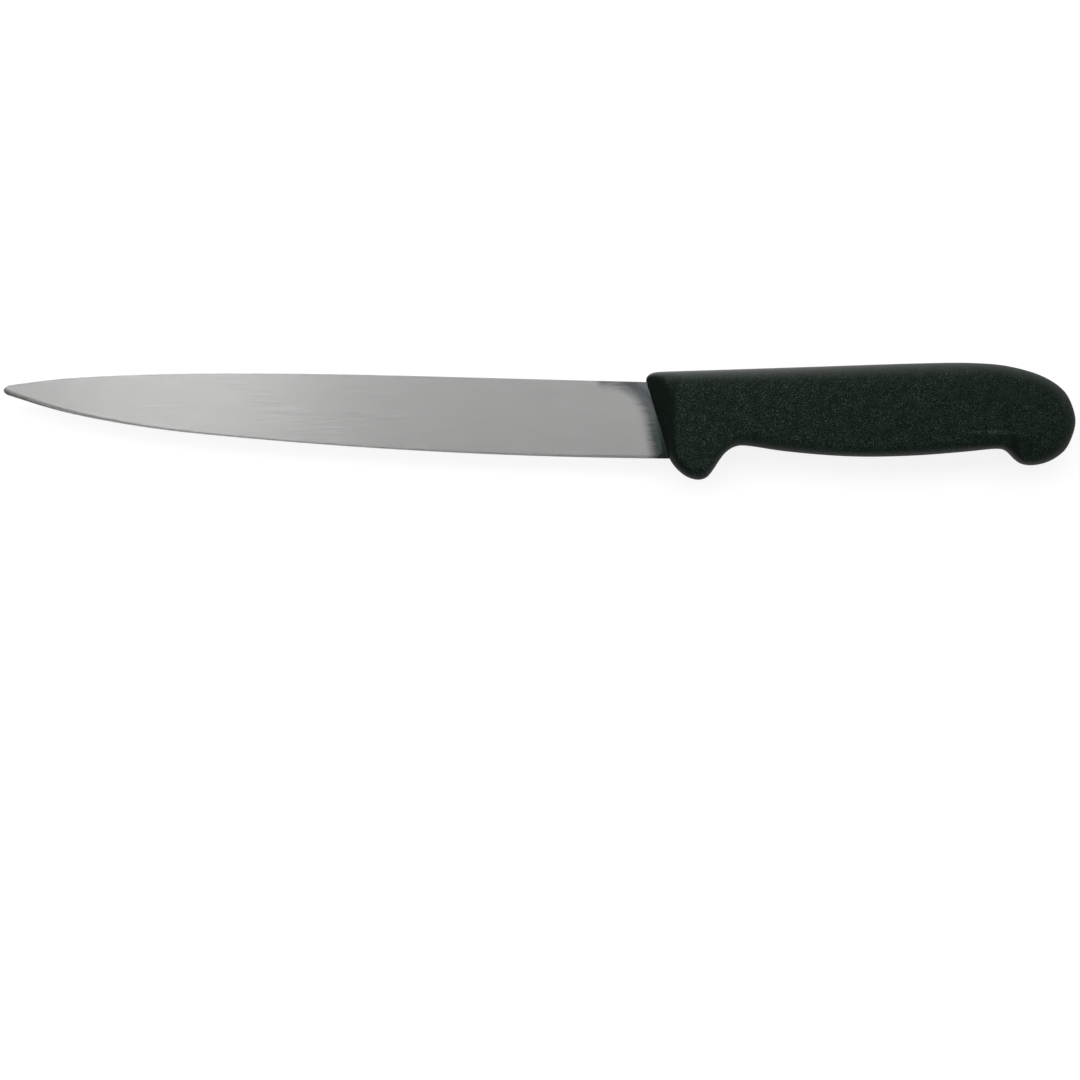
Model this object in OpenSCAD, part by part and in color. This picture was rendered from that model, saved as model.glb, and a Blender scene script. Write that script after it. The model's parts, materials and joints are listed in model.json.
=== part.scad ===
// Flexible fillet knife, lying on its side.
// X runs from the tip of the blade to the butt of the handle, Y from the cutting edge to the spine,
// and Z up, out of the side that lies on top. The origin is under the middle of the knife.
// Both pieces are drawn about the middle plane of the steel, z = 0, and then lifted by lift.

/* [Blade] */
// Length of the blade in front of the handle, along the spine
blade_l = 198; // [185:1:205]
// Height of the blade where it enters the handle
blade_h = 23.5; // [22.5:0.1:24.5]
// Thickness of the steel strip before it is ground
stock_t = 2.5; // [2.3:0.1:2.8]
// Thickness that the grinding leaves at the spine, next to the handle
spine_t = 2; // [1.8:0.1:2.2]
// Thickness that the grinding leaves behind the cutting bevel, next to the handle
edge_t = 0.45; // [0.4:0.05:0.6]
// Thickness that the grinding leaves at the tip
tip_t = 0.9; // [0.8:0.05:1.2]
// Angle of the cutting bevel on each side, from the middle plane
bevel_angle = 15; // [14:1:20]
// Thickness left at the very edge, so that the solid is not infinitely thin
keen_t = 0.04; // [0.02:0.01:0.08]
// Length of the rounded nose at the tip
nose_l = 2.6; // [2:0.1:3]

/* [Grinding run-out] */
// Radius of the run-out's corner, seen from the side
runout_r = 13.6; // [13:0.1:14]
// Radius of the hollow that the grinding wheel leaves there
wheel_r = 12; // [8:1:20]
// Slant of the run-out below its corner
runout_slant = 9; // [6:1:12]

/* [Tang] */
// Length of the tang inside the handle
tang_l = 100; // [80:1:105]
// Height of the tang at its front
tang_front_h = 14.5; // [12:0.5:15]
// Height of the tang at its rear end
tang_rear_h = 10.5; // [9:0.5:12]
// Diameter of the holes that the handle is moulded through
tang_hole_d = 6; // [4:0.5:7]
// Number of those holes
tang_holes = 3; // [2:1:3]

/* [Handle] */
// Length of the handle, from the spine's mouth to the butt
handle_l = 132; // [126:1:136]
// Width of the handle at its widest
handle_w = 21.6; // [20:0.2:24]
// Width of the handle behind its front bevel
front_w = 14.4; // [13:0.2:16]
// Width of the lip that the blade comes out of
lip_w = 4; // [3.6:0.2:5]
// Depth of the rounding along the top
top_round = 8; // [6:0.5:9]
// Depth of the rounding along the underside
under_round = 4; // [3:0.1:4.6]
// Depth of the rounding along the finger guard
guard_round = 3.4; // [2.5:0.1:4]
// How far the scoop for the little finger, in front of the hook, is sunk into each side
scoop_sunk = 2.4; // [1:0.1:3]

/* [Smoothness] */
// Steps in each bend between two points of the handle's outline
bend_steps = 6; // [4:1:8]
// Steps round the top of a cross-section
top_steps = 9; // [6:1:10]
// Steps up the side of a cross-section
side_steps = 5; // [3:1:6]
// Steps round the underside of a cross-section
under_steps = 8; // [5:1:8]

/* [Hidden] */

// Places along X
mouth_x = blade_l - (blade_l + handle_l) / 2; // where the spine goes into the handle
tip_x = mouth_x - blade_l;
lift = handle_w / 2;                          // height of the middle plane of the steel
steel = [0.72, 0.72, 0.73];
plastic = [0.13, 0.17, 0.14];

// ---- Outline of the blade -----------------------------------------------------------------------

// How far a circle of radius r has fallen, a run away from its highest point
function fall(r, run) = r - sqrt(r * r - run * run);
// Radius of the circle that falls that far over that run
function bow_r(run, drop) = (run * run + drop * drop) / (2 * drop);

// Spine: a straight behind, then arcs of three radii that meet on common tangents
spine_mouth_y = 12.05;      // height of the spine at the handle
spine_slope = 0.0265;       // rise of the straight towards the tip
spine_top_x = tip_x + 67.3; // highest point of the spine
spine_top_y = 14.75;
spine_front_r = 755;
spine_tip_x = tip_x + 26;   // where the last, tighter arc begins
spine_tip_r = 231;
spine_sine = (spine_top_x - spine_tip_x) / spine_front_r; // slope angle's sine there
spine_tip_y = spine_top_y - fall(spine_front_r, spine_top_x - spine_tip_x);
// The arc behind the highest point is sized to meet the straight on a tangent
spine_rear_run = 2 * ((mouth_x - spine_top_x) - (spine_top_y - spine_mouth_y) / spine_slope);
spine_rear_r = spine_rear_run / spine_slope;

// Height of a circle through (x0, y0) with the tangent's sine s0 there, which bends down by 1 / r
function arc_down(x, x0, y0, s0, r) =
    let (s = s0 + (x0 - x) / r)
    y0 - r * (sqrt(1 - s0 * s0) - sqrt(1 - s * s));

function spine_y(x) =
    x > spine_top_x + spine_rear_run ? spine_mouth_y + (mouth_x - x) * spine_slope :
    x > spine_top_x ? spine_top_y - fall(spine_rear_r, x - spine_top_x) :
    x > spine_tip_x ? spine_top_y - fall(spine_front_r, spine_top_x - x) :
    arc_down(x, spine_tip_x, spine_tip_y, spine_sine, spine_tip_r);

// Cutting edge: one long arc, then a belly and a tip arc of smaller radii
edge_low_x = mouth_x + 19.7;       // lowest point of the edge's circle, inside the handle
edge_sag = 0.12;                   // how far the edge still falls between the handle and that point
edge_low_y = spine_mouth_y - blade_h - edge_sag;
belly_x = tip_x + 58.9;            // where the belly begins
belly_y = -3.7;
belly_r = 333;
point_x = tip_x + 24.6;            // where the last arc begins
point_r = 157;
edge_r = bow_r(edge_low_x - belly_x, belly_y - edge_low_y);
belly_sine = (edge_low_x - belly_x) / edge_r;
point_sine = belly_sine + (belly_x - point_x) / belly_r;

// Height of a circle that bends up towards the tip
function arc_up(x, x0, y0, s0, r) =
    let (s = s0 + (x0 - x) / r)
    y0 + r * (sqrt(1 - s0 * s0) - sqrt(1 - s * s));

point_y = arc_up(point_x, belly_x, belly_y, belly_sine, belly_r);

function edge_y(x) =
    x > belly_x ? edge_low_y + fall(edge_r, edge_low_x - x) :
    x > point_x ? arc_up(x, belly_x, belly_y, belly_sine, belly_r) :
    arc_up(x, point_x, point_y, point_sine, point_r);

// The nose is a slightly pointed half ellipse between the ends of the spine and the edge
nose_x = tip_x + nose_l;
nose_y = (spine_y(nose_x) + edge_y(nose_x)) / 2;
nose_h = spine_y(nose_x) - edge_y(nose_x);
nose_point = 1.3;                  // 1 is an ellipse, and more is more pointed
nose_step = 10;                    // degrees between the nose's points
curve_steps = 40;
crowding = 1.5;                    // 1 spaces the curves' points evenly, and more crowds the tip
curve_end_x = mouth_x + 19;        // where both curves end, inside the handle
spare = 5;                         // how far shapes that are trimmed later reach past the trim
straight_end_x = mouth_x + tang_l + spare;

// Places of the curves' points, closer together towards the tip
function curve_x(i) = nose_x + (curve_end_x - nose_x) * pow(i / curve_steps, crowding);
// The nose's points from just past the spine, at 90 degrees, to just short of the angle last
function nose_points(last) = [for (a = [90 + nose_step:nose_step:last - nose_step])
    [nose_x + nose_l * cos(a), nose_y + sign(sin(a)) * nose_h / 2 * pow(abs(sin(a)), nose_point)]];

blade_points = concat(
    [for (i = [0:curve_steps]) [curve_x(i), edge_y(curve_x(i))]],
    [[straight_end_x, edge_low_y], [straight_end_x, spine_mouth_y]],
    [for (i = [curve_steps:-1:0]) [curve_x(i), spine_y(curve_x(i))]],
    nose_points(270));

// ---- Blade --------------------------------------------------------------------------------------

// The ground face is one plane on each side: these are its slopes across and along the blade
across = (spine_t - edge_t) / 2 / blade_h;
along = (spine_t / 2 - across * (spine_mouth_y - nose_y) - tip_t / 2) / blade_l;
turn_along = -atan(along);
turn_across = atan(across * cos(turn_along));
far = 400;        // longer than the knife
cut_h = stock_t;  // more than the grinding takes off
heel_l = 10.5;    // how far the full height of the blade goes into the handle
corner_r = 2.5;   // rounding of the tang's corners
tang_front_y = 1; // height of the tang's middle line at its front
tang_rear_y = 2;  // and at its rear end
tang_root = 4;    // how far the tang's shape starts inside the full height
last_gap = 1.6;   // gap behind the last hole, as a share of the holes' spacing

// Centre of the run-out's corner, from the point where the spine meets the handle
runout_x = -12.7;
runout_y = -13.2;
runout_turn = 100; // how far the corner turns before it leaves the spine
runout_drop = 20;  // how far its straight part reaches down, past the edge

// The hollow's profile: flat up to the run-out's radius, then the curve of the wheel
module runout_profile() {
    square([runout_r, cut_h]);
    intersection() {
        translate([runout_r, wheel_r]) circle(r = wheel_r, $fn = 180);
        translate([runout_r, 0]) square([wheel_r, cut_h]);
    }
}

// What the grinding takes off one side
module ground_off() {
    translate([mouth_x, spine_mouth_y, spine_t / 2])
        rotate([turn_across, turn_along, 0]) {
            translate([runout_x - far, -far / 2, 0]) cube([far, far, cut_h]);
            translate([runout_x, runout_y, 0]) rotate([0, 0, runout_slant]) {
                rotate_extrude(angle = runout_turn, $fn = 180) runout_profile();
                rotate([90, 0, 0]) linear_extrude(runout_drop) {
                    runout_profile();
                    translate([-runout_r, 0]) square([2 * runout_r, cut_h]);
                }
            }
        }
}

// The strip seen from the side: the blade's spine and nose, the full height at the heel, and the tang.
// Its lower side is left long, because the bevel's shape trims it.
module strip_outline() {
    polygon(concat(
        [[mouth_x + heel_l, edge_low_y - spare], [mouth_x + heel_l, spine_y(mouth_x + heel_l)]],
        [for (i = [curve_steps:-1:0]) if (curve_x(i) < mouth_x + heel_l) [curve_x(i), spine_y(curve_x(i))]],
        nose_points(180),
        [[tip_x - spare, nose_y], [tip_x - spare, edge_low_y - spare]]));
    hull() {
        for (side = [-1, 1]) {
            translate([mouth_x + heel_l - tang_root, tang_front_y + side * (tang_front_h / 2 - corner_r)])
                circle(corner_r, $fn = 32);
            translate([mouth_x + tang_l - corner_r, tang_rear_y + side * (tang_rear_h / 2 - corner_r)])
                circle(corner_r, $fn = 32);
        }
    }
}

// A double wedge along the cutting edge, a little thicker than the strip further in
module edge_wedge() {
    wedge_t = 1.1 * stock_t;
    wedge_l = (wedge_t - keen_t) / 2 / tan(bevel_angle);
    hull() {
        linear_extrude(keen_t, center = true) polygon(blade_points);
        translate([0, wedge_l, 0]) linear_extrude(wedge_t, center = true) polygon(blade_points);
    }
}

module tang_bores() {
    spacing = (tang_l - heel_l) / (tang_holes - 1 + last_gap);
    for (i = [0:tang_holes - 1])
        translate([mouth_x + heel_l + spacing * (i + 1), (tang_front_y + tang_rear_y) / 2, 0])
            cylinder(h = 2 * stock_t, d = tang_hole_d, center = true, $fn = 64);
}

module blade_solid() {
    intersection() {
        difference() {
            linear_extrude(stock_t, center = true) strip_outline();
            tang_bores();
            ground_off();
            mirror([0, 0, 1]) ground_off();
        }
        edge_wedge();
    }
}

module blade() {
    color(steel) translate([0, 0, lift]) blade_solid();
}

// ---- Outline of the handle ----------------------------------------------------------------------

drawn_l = 132;       // length of the handle for which the places behind the mouth are given
stretch = handle_l / drawn_l;

// Top and underside, seen from the side: distance behind the mouth, and height
top_points = [[-0.3, 12.6], [-0.05, 13.5], [0.85, 14.5], [2.7, 15.15], [7.5, 15.4], [17, 15.7],
    [48, 16.7], [78, 17.7], [95, 18.05], [104, 17.8], [110, 17.2], [116, 15.9], [121.5, 14.05],
    [126.3, 11.3], [129.8, 7.5], [drawn_l, 0.1]];
under_points = [[7.2, -11.95], [8.3, -13.6], [10.2, -15.6], [12.6, -17.25], [15.6, -18.05],
    [18.2, -17.5], [20.1, -15.5], [22.2, -12.3], [24.4, -9.5], [27.7, -7.65], [32, -7.7], [42, -9.2],
    [56, -10.5], [69, -10.95], [84, -10.5], [98, -9.4], [107.5, -8.5], [110.6, -9.15],
    [112.8, -11.35], [115.2, -13.1], [118.6, -13.6], [122.8, -12.8], [126.8, -10.65], [129.8, -7.3],
    [drawn_l, 0.1]];

// A point on the smooth curve through the points p, a share t of the way from point i to the next
function bend(p, i, t) =
    let (a = p[max(i - 1, 0)], b = p[i], c = p[i + 1], d = p[min(i + 2, len(p) - 1)])
    (2 * b + (c - a) * t + (2 * a - 5 * b + 4 * c - d) * t * t + (3 * b - a - 3 * c + d) * t * t * t) / 2;

// The curve through the points p as far as point n, as short steps
function rail(p, n) = concat(
    [for (i = [0:n - 1]) for (k = [0:bend_steps - 1]) bend(p, i, k / bend_steps)], [p[n]]);

butt = len(top_points) - 1;
butt_under = len(under_points) - 1;
// Each rail looks one point past the butt, so that both meet there square to X
top_rail = rail(concat(top_points, [under_points[butt_under - 1]]), butt);
under_rail = rail(concat(under_points, [top_points[butt - 1]]), butt_under);

function top_y(h) = lookup(h, top_rail);
function under_y(h) = lookup(h, under_rail);
// How much deeper a rounding is upright than square to a rail that slopes there
slant_run = 0.8;     // length over which the slope is taken
steepest = 2.6;
function slant(h, table) =
    let (rise = lookup(h + slant_run / 2, table) - lookup(h - slant_run / 2, table))
    min(norm([slant_run, rise]) / slant_run, steepest);

// ---- Handle -------------------------------------------------------------------------------------

bevel_end = 7.6;     // where the front bevel ends, behind the mouth
bevel_run = 4;       // how long it is halfway up
widest = 100;        // where the handle is widest
dome_start = 119;    // where the butt begins to close in
dome_l = drawn_l - dome_start;
dome_power = 2.3;    // 2 closes in along an ellipse, and more is blunter
lip_top_round = 0.9; // roundings of the lip that the blade comes out of
lip_under_round = 0.4;
front_top_round = 7; // rounding of the top just behind the front bevel
most_round = 0.9;    // largest share of a section's height that its two roundings may take

// Half width of the handle: it swells from the front to the widest place and closes at the butt
function half_w(h) =
    let (u = min(max((h - bevel_end) / (widest - bevel_end), 0), 1),
         v = min(max((h - dome_start) / dome_l, 0), 1))
    (front_w + (handle_w - front_w) * sin(90 * u)) / 2 * pow(1 - pow(v, dome_power), 1 / dome_power);

// Half width of the front bevel, and past it that of its continuation; f is 1 where it ends
function bevel_w(f) = (lip_w + (front_w - lip_w) * f) / 2;
// The smaller of two half widths, with a rounded corner where they differ by less than bevel_ease
bevel_ease = 2;
function eased(a, b) = min(a, b) - pow(max(bevel_ease - abs(a - b), 0), 2) / (4 * bevel_ease);

// Depth of the roundings, square to the outline, and how full they are: 2 is an ellipse, 1 a bevel
function top_depth(h) = lookup(h, [[bevel_end, front_top_round], [60, top_round], [100, top_round],
    [dome_start, top_round - 2]]);
top_fullness = 1.9;
function under_depth(h) = lookup(h, [[bevel_end, guard_round], [24, guard_round], [32, 5],
    [44, 4.4], [60, under_round], [96, under_round], [104, 2], [116, 2], [121, under_round]]);
function under_fullness(h) = lookup(h, [[28, 2.2], [60, 2.6], [96, 2.6], [102, 2.2]]);
side_taper = 0.93;   // width of the side at its foot, as a share of its width at the top
// The scoop: how high its ridge is over the underside, and how far it is sunk there
function ridge_h(h) = lookup(h, [[94, 0], [96, 4.6], [99, 5.4], [107, 5], [110, 5.6], [112, 7],
    [115, 8.8], [118, 6.6], [121, 4.5], [124, 0]]);
function sunk(h) = scoop_sunk * lookup(h, [[96, 0], [102, 0.8], [108, 1], [116, 1], [119, 0.6], [123, 0]]);
// Least and largest share of the side's length that may lie under the ridge
under_ridge = [0.04, 0.8];

// One half of a cross-section between a point on top and one on the underside, each
// [behind the mouth, height]: from the top down one side, as far as the middle plane.
// The side ends at a ridge, about as high as asked over the underside, and slants in by depth there.
function side_points(top, under, w, top_r, under_r, fullness, asked, depth) =
    let (h = norm(top - under),
         side = h - top_r - under_r,
         ridge = under_r + min(max(asked - under_r, under_ridge[0] * side), under_ridge[1] * side))
    [for (p = concat(
        [for (k = [0:top_steps]) let (a = 90 * k / top_steps)
            [h - top_r + top_r * pow(cos(a), 2 / top_fullness), w * pow(sin(a), 2 / top_fullness)]],
        [for (k = [1:side_steps]) let (t = k / side_steps)
            [h - top_r - (h - top_r - ridge) * t, w * (1 - (1 - side_taper) * t * t)]],
        [for (k = [0:under_steps]) let (a = 90 - 90 * k / under_steps)
            [under_r - under_r * pow(cos(a), 2 / fullness),
             (w * side_taper - depth) * pow(sin(a), 2 / fullness)]]))
        [mouth_x + (under[0] + (top[0] - under[0]) * p[0] / h) * stretch,
         under[1] + (top[1] - under[1]) * p[0] / h, p[1]]];

function section(half) = concat(half,
    [for (k = [len(half) - 2:-1:1]) [half[k][0], half[k][1], -half[k][2]]]);

// Sections of the front bevel fan out from the slanted lip to an upright one
function bevel_section(f) =
    let (t = top_points[0][0] + (bevel_end - top_points[0][0]) * f,
         u = under_points[0][0] + (bevel_end - under_points[0][0]) * f)
    section(side_points([t, top_y(t)], [u, under_y(u)], eased(bevel_w(f), half_w(bevel_end)),
        lip_top_round + (front_top_round - lip_top_round) * f,
        lip_under_round + (guard_round * slant(bevel_end, under_rail) - lip_under_round) * f,
        under_fullness(bevel_end), 0, 0));

function upright_section(h) =
    let (tall = top_y(h) - under_y(h),
         top_r = top_depth(h) * slant(h, top_rail),
         under_r = under_depth(h) * slant(h, under_rail),
         squeeze = min(1, most_round * tall / (top_r + under_r)))
    section(side_points([h, top_y(h)], [h, under_y(h)],
        eased(bevel_w(1 + (h - bevel_end) / bevel_run), half_w(h)),
        top_r * squeeze, under_r * squeeze, under_fullness(h), ridge_h(h), sunk(h)));

// Where the sections are: close at the guard, the hook and the butt, wider in between
bevel_steps = [0, 0.03, 0.08, 0.16, 0.3, 0.45, 0.6, 0.7, 0.8, 0.9, 1];
guard_end = 31;
hook_start = 104;
dome_steps = 12;
dome_turn = 88;      // how far round the dome the last section is, of 90 degrees
stations = concat([bevel_end + 0.7], [for (h = [9:1:guard_end]) h],
    [for (h = [guard_end + 2:2.5:hook_start - 1]) h], [for (h = [hook_start:1:dome_start - 1]) h],
    [for (k = [0:dome_steps - 1]) dome_start + dome_l * sin(dome_turn * k / (dome_steps - 1))]);

sections = concat([for (f = bevel_steps) bevel_section(f)], [for (h = stations) upright_section(h)]);
ring = len(sections[0]);
rings = len(sections);

module handle_body() {
    points = concat([for (s = sections) each s], [[mouth_x + handle_l, top_points[butt][1], 0]]);
    skin = [for (i = [0:rings - 2]) for (k = [0:ring - 1]) let (n = (k + 1) % ring)
        each [[i * ring + k, (i + 1) * ring + k, (i + 1) * ring + n],
              [i * ring + k, (i + 1) * ring + n, i * ring + n]]];
    lip = [[for (k = [0:ring - 1]) k]];
    end = [for (k = [0:ring - 1])
        [(rings - 1) * ring + k, rings * ring, (rings - 1) * ring + (k + 1) % ring]];
    polyhedron(points, concat(lip, skin, end));
}

// The handle is moulded round the tang, so its cavity is the blade's own shape
module handle() {
    color(plastic) translate([0, 0, lift])
        difference() {
            handle_body();
            blade_solid();
        }
}

blade();
handle();
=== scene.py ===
# Flexible fillet knife, lying on its side on a white table and seen from straight above.
# Metres, in the frame of the CAD model: +X from the tip to the butt, +Y from the edge to the
# spine, +Z up.
import json
import math

import bmesh
import bpy
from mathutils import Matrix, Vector

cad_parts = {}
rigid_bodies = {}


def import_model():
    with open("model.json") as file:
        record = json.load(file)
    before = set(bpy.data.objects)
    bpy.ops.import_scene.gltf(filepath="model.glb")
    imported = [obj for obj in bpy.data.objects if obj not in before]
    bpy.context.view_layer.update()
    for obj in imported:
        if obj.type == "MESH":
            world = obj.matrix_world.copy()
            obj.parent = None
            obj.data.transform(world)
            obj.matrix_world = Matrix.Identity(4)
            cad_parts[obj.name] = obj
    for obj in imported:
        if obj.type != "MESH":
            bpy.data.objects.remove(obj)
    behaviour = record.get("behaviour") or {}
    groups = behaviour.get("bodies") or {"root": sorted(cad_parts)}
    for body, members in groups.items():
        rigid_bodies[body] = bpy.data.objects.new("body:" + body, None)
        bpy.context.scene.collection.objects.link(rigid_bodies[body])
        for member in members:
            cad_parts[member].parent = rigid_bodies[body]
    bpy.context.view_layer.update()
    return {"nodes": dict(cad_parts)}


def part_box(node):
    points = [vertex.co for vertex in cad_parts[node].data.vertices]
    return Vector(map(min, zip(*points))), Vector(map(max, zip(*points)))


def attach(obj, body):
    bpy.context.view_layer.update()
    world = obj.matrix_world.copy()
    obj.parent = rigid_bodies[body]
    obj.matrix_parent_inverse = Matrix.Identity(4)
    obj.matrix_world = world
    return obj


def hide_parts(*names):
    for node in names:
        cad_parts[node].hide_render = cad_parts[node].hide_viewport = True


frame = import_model()

MM = 0.001

# ---- Places taken from the frame -----------------------------------------------------------------

blade_low = Vector(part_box("blade")[0])
handle_low, handle_high = (Vector(corner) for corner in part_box("handle"))
KNIFE_L = handle_high.x - blade_low.x
MIDDLE_Z = (handle_low.z + handle_high.z) / 2    # middle plane of the steel
MOUTH_X = handle_low.x                           # foremost point of the handle's slanted front

# Where the grinding leaves off: centre, slant and radius of its corner, which lies a little
# below the corner of the solid's hollow
RUNOUT_X, RUNOUT_Y = MOUTH_X - 12.4 * MM, -1.55 * MM
RUNOUT_SLANT = math.radians(9)
RUNOUT_R = 13.6 * MM

# The painted highlight along the ridge over the scoop for the little finger: its middle, half its
# length, half its height
RIDGE_GLINT_X, RIDGE_GLINT_Y = MOUTH_X + 106 * MM, -3.6 * MM
RIDGE_GLINT_L, RIDGE_GLINT_H = 11 * MM, 1.2 * MM

# ---- Camera and light ----------------------------------------------------------------------------

# The photograph is 1080 pixels wide. The knife spans these columns in it, and its middle lies
# on this row.
PHOTO_PX = 1080
TIP_PX, BUTT_PX = 3.5, 1075.5
KNIFE_ROW_PX = 421.25
LENS_MM, SENSOR_MM = 200, 36

# Softboxes on the spine's side, the narrow one for the bright band across the front of the
# blade and the broad one for the rest: centre, the point it faces, size in metres, and watts
SOFTBOXES = {
    "gleam": ((-0.182, 0.45, 0.95), (-0.182, 0, 0), (0.12, 0.6), 0.4),
    "broad": ((-0.1, 0.47, 0.95), (-0.05, 0, 0), (2.4, 0.5), 10.8),
}
ROOM = 0.36                      # what the rest of the room gives
CEILING = 0.1                    # how bright the ceiling is in the steel
WALLS_END = 0.1                  # Z of the directions above which the walls darken,
CEILING_FROM = 0.35              # and above which all is ceiling

TABLE_SIZE = 8                   # metres, so that its border doesn't show
TABLE_COLOUR = "#868686"
TABLE_LIFT = 0.84                # added where the table is seen


def add_camera():
    pixel = KNIFE_L / (BUTT_PX - TIP_PX)
    middle_px = (TIP_PX + BUTT_PX) / 2
    distance = PHOTO_PX * pixel * LENS_MM / SENSOR_MM
    place = (
        (PHOTO_PX / 2 - middle_px) * pixel,
        (KNIFE_ROW_PX - PHOTO_PX / 2) * pixel,
        MIDDLE_Z + distance,
    )
    bpy.ops.object.camera_add(location=place, rotation=(0, 0, 0))
    camera = bpy.context.object
    camera.name = "copy_stand_camera"
    camera.data.lens = LENS_MM
    camera.data.sensor_width = SENSOR_MM
    bpy.context.scene.camera = camera


def add_softbox(name, centre, aim, size, watts):
    """A rectangular softbox at centre, facing the point aim. The camera doesn't see it."""
    bpy.ops.object.light_add(type="AREA", location=centre)
    light = bpy.context.object
    light.name = name
    light.data.shape = "RECTANGLE"
    light.data.size, light.data.size_y = size
    light.data.energy = watts
    light.rotation_euler = (Vector(aim) - Vector(centre)).to_track_quat("-Z", "Y").to_euler()
    light.visible_camera = False


# ---- Node helpers --------------------------------------------------------------------------------


def linear(hex_colour):
    """An sRGB hex colour as linear RGBA."""
    channels = [int(hex_colour[i:i + 2], 16) / 255 for i in (1, 3, 5)]
    red, green, blue = (
        c / 12.92 if c <= 0.04045 else ((c + 0.055) / 1.055) ** 2.4 for c in channels)
    return red, green, blue, 1


def add_node(tree, kind, settings=None, stops=(), **sockets):
    """Adds a node, sets its properties and a ramp's stops, and sets or links its inputs.

    A stop is a position and a linear colour. An input is named with its spaces as underscores,
    or is an underscore and its number; a value that is a socket is linked to it."""
    node = tree.nodes.new(kind)
    for key, value in (settings or {}).items():
        setattr(node, key, value)
    if stops:
        elements = node.color_ramp.elements
        while len(elements) < len(stops):
            elements.new(0.5)
        for element, (position, colour) in zip(elements, stops):
            element.position = position
            element.color = colour
    for key, value in sockets.items():
        name = key.replace("_", " ")
        socket = node.inputs[int(key[1:])] if key[1:].isdigit() else node.inputs[name]
        if isinstance(value, bpy.types.NodeSocket):
            tree.links.new(value, socket)
        else:
            socket.default_value = value
    return node


def new_material(name):
    material = bpy.data.materials.new(name)
    material.use_nodes = True
    material.node_tree.nodes.clear()
    return material, material.node_tree


# ---- Materials -----------------------------------------------------------------------------------

# Grinding lines are about 0.05 mm apart; they are drawn 0.3 mm apart, so that they show
LINES_APART, LINES_L = 0.3 * MM, 10 * MM
FRAY = 6.5 * MM                  # how far the noise of the lines moves the run-out's border
# Where the rolled skin begins and where it is full, counted with the fray
BORDER = RUNOUT_R + 0.2 * MM, RUNOUT_R + 5.0 * MM
# The skin is painted darker towards the lower of these heights, a painted reflection of the dark
# handle
PAINTED_REFLECTION_LOW_Y, PAINTED_REFLECTION_HIGH_Y = -3 * MM, 11 * MM    # its tone changes between these heights

# The grains are about 0.1 mm across; they are drawn 0.22 mm across, so that they show
GRAIN_SIZE = 0.22 * MM
PATCH_SIZE = 2.5 * MM            # patches with a little more or less of the grain


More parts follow.
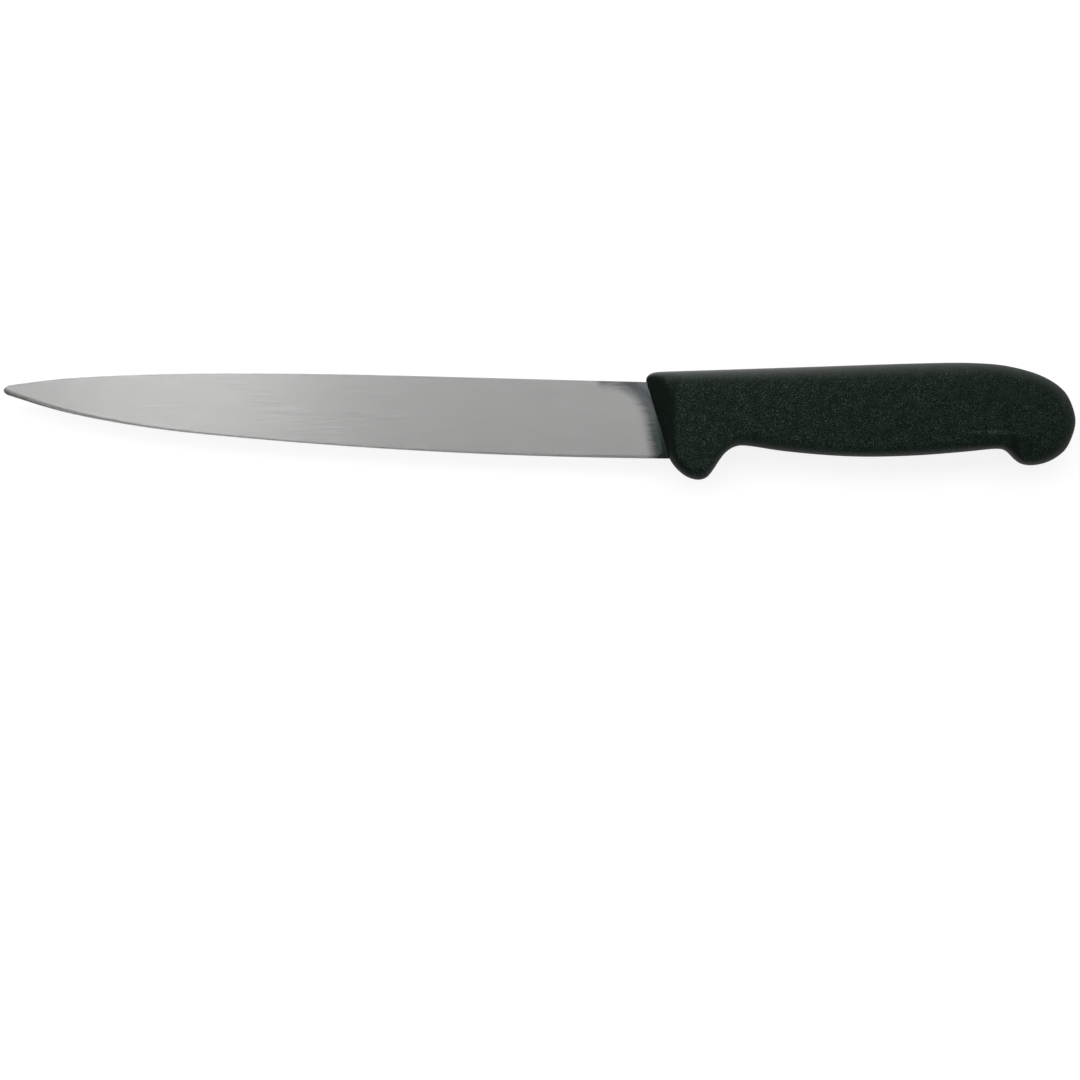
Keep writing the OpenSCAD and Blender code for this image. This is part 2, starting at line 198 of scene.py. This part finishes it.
def ground_steel():
    """Martensitic stainless steel, belt-ground lengthwise to a fine satin: the hair-fine lines
    draw reflections out across the blade. Past the run-out the strip keeps the smoother, bluer
    skin it was rolled with; its darkness is painted, a painted reflection of the dim ceiling."""
    material, tree = new_material("satin_ground_stainless_steel")
    coordinates = add_node(tree, "ShaderNodeTexCoord")
    place = coordinates.outputs["Object"]
    along = add_node(tree, "ShaderNodeMapping", Vector=place, Scale=(LINES_APART / LINES_L, 1, 1))
    lines = add_node(tree, "ShaderNodeTexNoise", Vector=along.outputs["Vector"],
                     Scale=1 / LINES_APART, Detail=4, Roughness=0.7).outputs["Fac"]
    # How far a point is from the centre of the run-out's corner, past which the skin begins
    local = add_node(tree, "ShaderNodeMapping", {"vector_type": "TEXTURE"}, Vector=place,
                     Location=(RUNOUT_X, RUNOUT_Y, 0), Rotation=(0, 0, RUNOUT_SLANT))
    apart = add_node(tree, "ShaderNodeSeparateXYZ", Vector=local.outputs["Vector"])
    up = add_node(tree, "ShaderNodeMath", {"operation": "MAXIMUM"}, _0=apart.outputs["Y"], _1=0.0)
    right = add_node(tree, "ShaderNodeMath", {"operation": "MAXIMUM"},
                     _0=apart.outputs["X"], _1=0.0)
    flat = add_node(tree, "ShaderNodeCombineXYZ",
                    X=right.outputs["Value"], Y=up.outputs["Value"])
    reach = add_node(tree, "ShaderNodeVectorMath", {"operation": "LENGTH"},
                     _0=flat.outputs["Vector"])
    # The lines run out at slightly different places, which frays the border
    frayed = add_node(tree, "ShaderNodeMath", {"operation": "MULTIPLY_ADD"},
                      _0=lines, _1=FRAY, _2=reach.outputs["Value"])
    past = add_node(tree, "ShaderNodeMapRange", {"interpolation_type": "SMOOTHSTEP"},
                    Value=frayed.outputs["Value"], From_Min=BORDER[0], From_Max=BORDER[1])
    # There is no skin in front of the corner's centre
    behind = add_node(tree, "ShaderNodeMapRange", Value=apart.outputs["X"],
                      From_Min=-1.0 * MM, From_Max=1.0 * MM)
    skin = add_node(tree, "ShaderNodeMath", {"operation": "MULTIPLY"},
                    _0=past.outputs["Result"], _1=behind.outputs["Result"]).outputs["Value"]
    ground = add_node(tree, "ShaderNodeValToRGB", Fac=lines,
                      stops=[(0.35, linear("#bebebd")), (0.65, linear("#cbcbca"))])
    # The skin is painted darker towards the edge: a painted reflection of the dark handle
    height = add_node(tree, "ShaderNodeSeparateXYZ", Vector=place)
    rise = add_node(tree, "ShaderNodeMapRange", Value=height.outputs["Y"],
                    From_Min=PAINTED_REFLECTION_LOW_Y, From_Max=PAINTED_REFLECTION_HIGH_Y)
    skin_painted_reflection = add_node(tree, "ShaderNodeValToRGB", Fac=rise.outputs["Result"],
                      stops=[(0, linear("#495351")), (1, linear("#7a7e81"))])
    # The cutting bevel is honed, and painted brighter than the ground face: a painted highlight.
    # It faces the edge more: the Y of its normal is about -0.29, and that of the ground face -0.03
    facing = add_node(tree, "ShaderNodeSeparateXYZ", Vector=coordinates.outputs["Normal"])
    bevel_highlight = add_node(tree, "ShaderNodeMapRange", Value=facing.outputs["Y"],
                     From_Min=-0.22, From_Max=-0.12, To_Min=1.0, To_Max=0.0)
    ground_and_bevel_highlight = add_node(tree, "ShaderNodeMix", {"data_type": "RGBA"}, _0=bevel_highlight.outputs["Result"],
                      _6=ground.outputs["Color"], _7=linear("#ebebe9"))
    tone = add_node(tree, "ShaderNodeMix", {"data_type": "RGBA"}, _0=skin,
                    _6=ground_and_bevel_highlight.outputs[2], _7=skin_painted_reflection.outputs["Color"])
    roughness = add_node(tree, "ShaderNodeMapRange", Value=skin, To_Min=0.27, To_Max=0.25)
    bump = add_node(tree, "ShaderNodeBump", Height=lines, Distance=0.001 * MM, Strength=0.35)
    # Reflections spread across the lines, which run along X
    across = add_node(tree, "ShaderNodeTangent", {"direction_type": "RADIAL", "axis": "X"})
    shader = add_node(tree, "ShaderNodeBsdfPrincipled", Base_Color=tone.outputs[2],
                      Metallic=1.0, Roughness=roughness.outputs["Result"], Anisotropic=1.0,
                      Tangent=across.outputs["Tangent"], Normal=bump.outputs["Normal"])
    add_node(tree, "ShaderNodeOutputMaterial", Surface=shader.outputs["BSDF"])
    return material


def grained_nylon():
    """Glass-filled nylon, moulded in a spark-eroded die: nearly black green, dull, with a fine
    sandy grain whose highest grains get pale specks, painted glints. The front bevel comes from
    a polished part of the die, so it is smoother; it is also painted darker, painted shade."""
    material, tree = new_material("spark_grained_green_nylon")
    coordinates = add_node(tree, "ShaderNodeTexCoord")
    place = coordinates.outputs["Object"]
    facing = add_node(tree, "ShaderNodeSeparateXYZ", Vector=coordinates.outputs["Normal"])
    # The front bevel is what faces the tip; this mask also paints it darker, as painted shade
    grain_and_unshaded = add_node(tree, "ShaderNodeMapRange", {"interpolation_type": "SMOOTHSTEP"},
                       Value=facing.outputs["X"], From_Min=-0.5, From_Max=-0.05,
                       To_Min=0.2, To_Max=1.0)
    # Hands have burnished the back of the handle, most of all in front
    upper = add_node(tree, "ShaderNodeMapRange", {"interpolation_type": "SMOOTHSTEP"},
                     Value=facing.outputs["Y"], From_Min=0.35, From_Max=1.0)
    length = add_node(tree, "ShaderNodeSeparateXYZ", Vector=place)
    forward = add_node(tree, "ShaderNodeMapRange", Value=length.outputs["X"],
                       From_Min=MOUTH_X, From_Max=handle_high.x, To_Min=1.0, To_Max=0.0)
    worn = add_node(tree, "ShaderNodeMath", {"operation": "MULTIPLY"},
                    _0=upper.outputs["Result"], _1=forward.outputs["Result"])
    grain = add_node(tree, "ShaderNodeTexNoise", Vector=place, Scale=1 / GRAIN_SIZE,
                     Detail=2, Roughness=0.7).outputs["Fac"]
    patches = add_node(tree, "ShaderNodeTexNoise", Vector=place, Scale=1 / PATCH_SIZE,
                       Detail=2, Roughness=0.5)
    rise = add_node(tree, "ShaderNodeMath", {"operation": "MULTIPLY_ADD"},
                    _0=patches.outputs["Fac"], _1=0.1, _2=grain)
    # It is painted a little paler in front, painted light that falls off towards the butt, and a
    # painted highlight runs along the ridge over the scoop
    along_ridge = add_node(tree, "ShaderNodeMapping", Vector=place,
                           Location=(-RIDGE_GLINT_X / RIDGE_GLINT_L, -RIDGE_GLINT_Y / RIDGE_GLINT_H, 0),
                           Scale=(1 / RIDGE_GLINT_L, 1 / RIDGE_GLINT_H, 0))
    off_ridge = add_node(tree, "ShaderNodeVectorMath", {"operation": "LENGTH"},
                         _0=along_ridge.outputs["Vector"])
    # A painted highlight along the ridge
    ridge_highlight = add_node(tree, "ShaderNodeMapRange", {"interpolation_type": "SMOOTHSTEP"},
                     Value=off_ridge.outputs["Value"], From_Min=0.3, From_Max=1.0,
                     To_Min=0.065, To_Max=0.0)
    # Painted light in front, fading towards the butt, plus the painted highlight on the ridge
    painted_front_light_and_ridge_glint = add_node(tree, "ShaderNodeMath", {"operation": "MULTIPLY_ADD"},
                     _0=forward.outputs["Result"], _1=0.02, _2=ridge_highlight.outputs["Result"])
    grain_plus_painted_light = add_node(tree, "ShaderNodeMath", {"operation": "ADD"},
                         _0=painted_front_light_and_ridge_glint.outputs["Value"], _1=rise.outputs["Value"])
    # The palest stop paints glints on the highest grains; the ramp also carries the painted light
    # in front and the painted highlight on the ridge
    grain_and_light_tone = add_node(tree, "ShaderNodeValToRGB", Fac=grain_plus_painted_light.outputs["Value"],
                     stops=[(0.35, linear("#010201")), (0.53, linear("#0b160f")),
                            (0.67, linear("#223128")), (0.79, linear("#677469"))])
    # The front bevel gets a flat dark colour: painted shade
    tone = add_node(tree, "ShaderNodeMix", {"data_type": "RGBA"}, _0=grain_and_unshaded.outputs["Result"],
                    _6=linear("#09100c"), _7=grain_and_light_tone.outputs["Color"])
    height = add_node(tree, "ShaderNodeMath", {"operation": "MULTIPLY"},
                      _0=grain, _1=grain_and_unshaded.outputs["Result"])
    bump = add_node(tree, "ShaderNodeBump", Height=height.outputs["Value"],
                    Distance=0.05 * MM, Strength=1.0)
    shader = add_node(tree, "ShaderNodeBsdfPrincipled", Base_Color=tone.outputs[2],
                      Roughness=0.6, IOR=1.5, Specular_IOR_Level=0.06,
                      Normal=bump.outputs["Normal"],
                      Coat_Weight=worn.outputs["Value"], Coat_Roughness=0.42)
    add_node(tree, "ShaderNodeOutputMaterial", Surface=shader.outputs["BSDF"])
    return material


def seen_rays(tree):
    """1 for the rays that show the surroundings: the camera's, and those off metal and through
    glass."""
    rays = add_node(tree, "ShaderNodeLightPath")
    direct = add_node(tree, "ShaderNodeMath", {"operation": "MAXIMUM"},
                      _0=rays.outputs["Is Camera Ray"], _1=rays.outputs["Is Glossy Ray"])
    return add_node(tree, "ShaderNodeMath", {"operation": "MAXIMUM"}, _0=direct.outputs["Value"],
                    _1=rays.outputs["Is Transmission Ray"]).outputs["Value"]


def white_table():
    """White laminate, lifted to full white where it is looked at, so that only a soft shadow of
    the knife is left on it."""
    material, tree = new_material("white_table_laminate")
    matt = add_node(tree, "ShaderNodeBsdfDiffuse", Color=linear(TABLE_COLOUR))
    dark = add_node(tree, "ShaderNodeEmission", Color=(0, 0, 0, 1), Strength=0.0)
    lift = add_node(tree, "ShaderNodeEmission", Color=(1, 1, 1, 1), Strength=TABLE_LIFT)
    seen = add_node(tree, "ShaderNodeMixShader", Fac=seen_rays(tree),
                    _1=dark.outputs["Emission"], _2=lift.outputs["Emission"])
    both = add_node(tree, "ShaderNodeAddShader",
                    _0=matt.outputs["BSDF"], _1=seen.outputs["Shader"])
    add_node(tree, "ShaderNodeOutputMaterial", Surface=both.outputs["Shader"])
    return material


def set_world():
    """A studio with white walls and a dim ceiling. The walls are full white where they are
    seen."""
    world = bpy.data.worlds.new("white_walls_dim_ceiling")
    bpy.context.scene.world = world
    world.use_nodes = True
    tree = world.node_tree
    tree.nodes.clear()
    direction = add_node(tree, "ShaderNodeTexCoord").outputs["Generated"]
    height = add_node(tree, "ShaderNodeSeparateXYZ", Vector=direction)
    walls = add_node(tree, "ShaderNodeValToRGB", Fac=height.outputs["Z"],
                     stops=[(WALLS_END, (1, 1, 1, 1)),
                            (CEILING_FROM, (CEILING, CEILING, CEILING, 1))])
    shown = add_node(tree, "ShaderNodeBackground", Color=walls.outputs["Color"], Strength=1.0)
    room = add_node(tree, "ShaderNodeBackground", Color=(1, 1, 1, 1), Strength=ROOM)
    mix = add_node(tree, "ShaderNodeMixShader", Fac=seen_rays(tree),
                   _1=room.outputs["Background"], _2=shown.outputs["Background"])
    add_node(tree, "ShaderNodeOutputWorld", Surface=mix.outputs["Shader"])


# ---- Modelling helpers ---------------------------------------------------------------------------

WELD = 0.0005 * MM               # points closer than this are merged


def only(piece):
    """Makes piece the one selected and active object."""
    if bpy.context.object and bpy.context.object.mode != "OBJECT":
        bpy.ops.object.mode_set(mode="OBJECT")
    bpy.ops.object.select_all(action="DESELECT")
    piece.select_set(True)
    bpy.context.view_layer.objects.active = piece


def copy_of_node(node, name):
    """A new piece with the node's shape, its loose triangles merged into one closed mesh."""
    piece = bpy.data.objects.new(name, frame["nodes"][node].data.copy())
    bpy.context.scene.collection.objects.link(piece)
    piece.data.name = name
    piece.data.materials.clear()
    only(piece)
    bpy.ops.mesh.customdata_custom_splitnormals_clear()
    bpy.ops.object.mode_set(mode="EDIT")
    bpy.ops.mesh.select_all(action="SELECT")
    bpy.ops.mesh.remove_doubles(threshold=WELD)
    bpy.ops.object.mode_set(mode="OBJECT")
    return piece


def select_where(piece, mode, test):
    """In edit mode, selects the vertices, edges or faces of piece for which test is true."""
    bpy.ops.mesh.select_mode(type=mode)
    bpy.ops.mesh.select_all(action="DESELECT")
    shape = bmesh.from_edit_mesh(piece.data)
    shape.normal_update()
    parts = {"VERT": shape.verts, "EDGE": shape.edges, "FACE": shape.faces}[mode]
    for part in parts:
        if test(part):
            part.select = True
    shape.select_flush_mode()
    bmesh.update_edit_mesh(piece.data)


def apply_modifier(piece, kind, **settings):
    only(piece)
    modifier = piece.modifiers.new(kind.lower(), kind)
    for key, value in settings.items():
        setattr(modifier, key, value)
    bpy.ops.object.modifier_apply(modifier=modifier.name)


# ---- Blade ---------------------------------------------------------------------------------------

FLAT_TURN = math.radians(0.03)   # faces that turn by less than this are one
SPINE_TURN = math.radians(50)    # the spine's edges turn by more than this
BLADE_SMOOTH = math.radians(28)
SPINE_EASING = 0.12 * MM         # rounding of the spine's two edges
NOSE_L = 3 * MM                  # the nose keeps its edges
EASED_INSIDE = 10 * MM           # how far past the mouth the spine is still eased


def is_spine_edge(edge):
    """The sharp edges along the top of the blade, from the nose into the handle."""
    middle_x = (edge.verts[0].co.x + edge.verts[1].co.x) / 2
    in_reach = blade_low.x + NOSE_L < middle_x < MOUTH_X + EASED_INSIDE
    if not in_reach or len(edge.link_faces) != 2:
        return False
    upright = [face for face in edge.link_faces if abs(face.normal.z) < 0.5]
    sharp = edge.calc_face_angle() > SPINE_TURN
    return sharp and len(upright) == 1 and upright[0].normal.y > 0.3


def is_bevel_edge(edge):
    """The line where the cutting bevel meets the ground face; it turns by about 13 degrees."""
    if len(edge.link_faces) != 2:
        return False
    turn = math.degrees(edge.calc_face_angle())
    bevel = min((face.normal for face in edge.link_faces), key=lambda normal: normal.y)
    return 10 < turn < 17 and -0.35 < bevel.y < -0.2 and abs(bevel.z) > 0.9


def make_blade():
    blade = copy_of_node("blade", "ground_blade")
    bpy.ops.object.mode_set(mode="EDIT")
    bpy.ops.mesh.dissolve_limited(angle_limit=FLAT_TURN)
    select_where(blade, "EDGE", is_bevel_edge)
    bpy.ops.mesh.mark_sharp()
    select_where(blade, "EDGE", is_spine_edge)
    bpy.ops.mesh.bevel(offset=SPINE_EASING, segments=3, profile=0.5, affect="EDGES")
    bpy.ops.object.mode_set(mode="OBJECT")
    bpy.ops.object.shade_smooth_by_angle(angle=BLADE_SMOOTH)
    apply_modifier(blade, "WEIGHTED_NORMAL", mode="FACE_AREA", keep_sharp=True)
    blade.data.materials.append(ground_steel())
    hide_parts("blade")
    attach(blade, "root")


# ---- Handle --------------------------------------------------------------------------------------

LIP_L = 8 * MM                   # the lip lies no further than this behind the foremost point,
LIP_H = 2.1 * MM                 # and no further than this above or below the middle plane
SAME_PLACE = 0.001 * MM
SKIN_STEP = 0.5 * MM             # spacing of the handle's even mesh
MOULD_GAP = 0.06 * MM            # shrinkage gap between the plastic and the steel at the mouth
HANDLE_SMOOTH = math.radians(40)


def on_the_lip(face):
    """The narrow flat face that the blade comes out of: upright, slanted, and in front."""
    normal, centre = face.normal, face.calc_center_median()
    upright = abs(normal.z) < 0.01
    forward = normal.x < -0.9 and abs(normal.y) < 0.4
    in_front = centre.x < MOUTH_X + LIP_L and abs(centre.z - MIDDLE_Z) < LIP_H
    return upright and forward and in_front


def make_handle():
    handle = copy_of_node("handle", "moulded_handle")
    butt = max(handle.data.vertices, key=lambda vertex: vertex.co.x).co.copy()
    bpy.ops.object.mode_set(mode="EDIT")
    # The lip is opened, so that the skin and the cavity come apart, and only the skin is kept
    select_where(handle, "FACE", on_the_lip)
    bpy.ops.mesh.delete(type="FACE")
    select_where(handle, "VERT", lambda vertex: (vertex.co - butt).length < SAME_PLACE)
    bpy.ops.mesh.select_linked()
    bpy.ops.mesh.select_all(action="INVERT")
    bpy.ops.mesh.delete(type="VERT")
    bpy.ops.mesh.select_mode(type="EDGE")
    bpy.ops.mesh.select_non_manifold(extend=False)
    bpy.ops.mesh.fill()
    bpy.ops.object.mode_set(mode="OBJECT")
    # An even mesh lets the facets be smoothed away
    apply_modifier(handle, "REMESH", mode="VOXEL", voxel_size=SKIN_STEP)
    apply_modifier(handle, "SMOOTH", factor=0.5, iterations=4)
    # The blade's shape, a hair larger, cuts the mouth and the space round the tang
    core = copy_of_node("blade", "core")
    bpy.ops.object.mode_set(mode="EDIT")
    bpy.ops.mesh.select_all(action="SELECT")
    bpy.ops.transform.shrink_fatten(value=MOULD_GAP, use_even_offset=True)
    bpy.ops.object.mode_set(mode="OBJECT")
    apply_modifier(handle, "BOOLEAN", operation="DIFFERENCE", object=core, solver="EXACT")
    bpy.data.objects.remove(core)
    only(handle)
    bpy.ops.object.shade_smooth_by_angle(angle=HANDLE_SMOOTH)
    handle.data.materials.clear()
    handle.data.materials.append(grained_nylon())
    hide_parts("handle")
    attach(handle, "root")


# ---- Table ---------------------------------------------------------------------------------------


def make_table():
    bpy.ops.mesh.primitive_plane_add(size=TABLE_SIZE, location=(0, 0, 0))
    table = bpy.context.object
    table.name = "table"
    table.data.materials.append(white_table())


bpy.context.scene.view_settings.view_transform = "Standard"
add_camera()
set_world()
for name, (centre, aim, size, watts) in SOFTBOXES.items():
    add_softbox(name, centre, aim, size, watts)
bpy.ops.object.select_all(action="DESELECT")
make_blade()
make_handle()
make_table()
